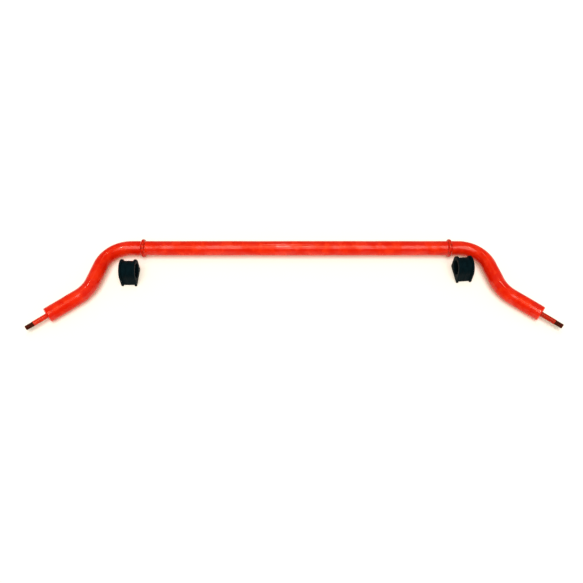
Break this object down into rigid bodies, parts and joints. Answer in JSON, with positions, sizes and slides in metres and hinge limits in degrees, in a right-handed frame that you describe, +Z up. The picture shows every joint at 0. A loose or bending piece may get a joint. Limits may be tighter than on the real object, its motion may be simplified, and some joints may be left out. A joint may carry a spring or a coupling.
{
  "type": "vehicle sway bar",
  "caption": "Bent steel sway bar with threaded stud ends and raised stop rings, and a pair of loose flanged rubber D bushings that clamp it to the chassis.",
  "frame": {"origin": "middle of the footprint, on the flat surface that the bar and the bushings lie on", "axes": "+X along the straight of the bar towards its right end, +Y away from the arms, +Z up"},
  "size_m": [0.9778, 0.205, 0.044],
  "materials": {
    "red_paint": "glossy orange-red baked paint with slight orange peel",
    "stud_steel": "bare dark oiled steel thread, shank painted red",
    "black_rubber": "moulded rubber, satin"
  },
  "bodies": {
    "bar": {"torsion_tube": "red_paint", "left_end_plug": "red_paint", "right_end_plug": "red_paint", "left_end_stud": "stud_steel", "right_end_stud": "stud_steel", "left_stop_ring": "red_paint", "right_stop_ring": "red_paint"},
    "left_bushing": {"left_bushing": "black_rubber"},
    "right_bushing": {"right_bushing": "black_rubber"}
  },
  "joints": [
    {"name": "left_bushing_lift", "type": "slide", "parent": "bar", "child": "left_bushing", "axis": [0, 0, 1], "range_m": [0, 0.06]},
    {"name": "right_bushing_lift", "type": "slide", "parent": "bar", "child": "right_bushing", "axis": [0, 0, 1], "range_m": [0, 0.06]}
  ]
}
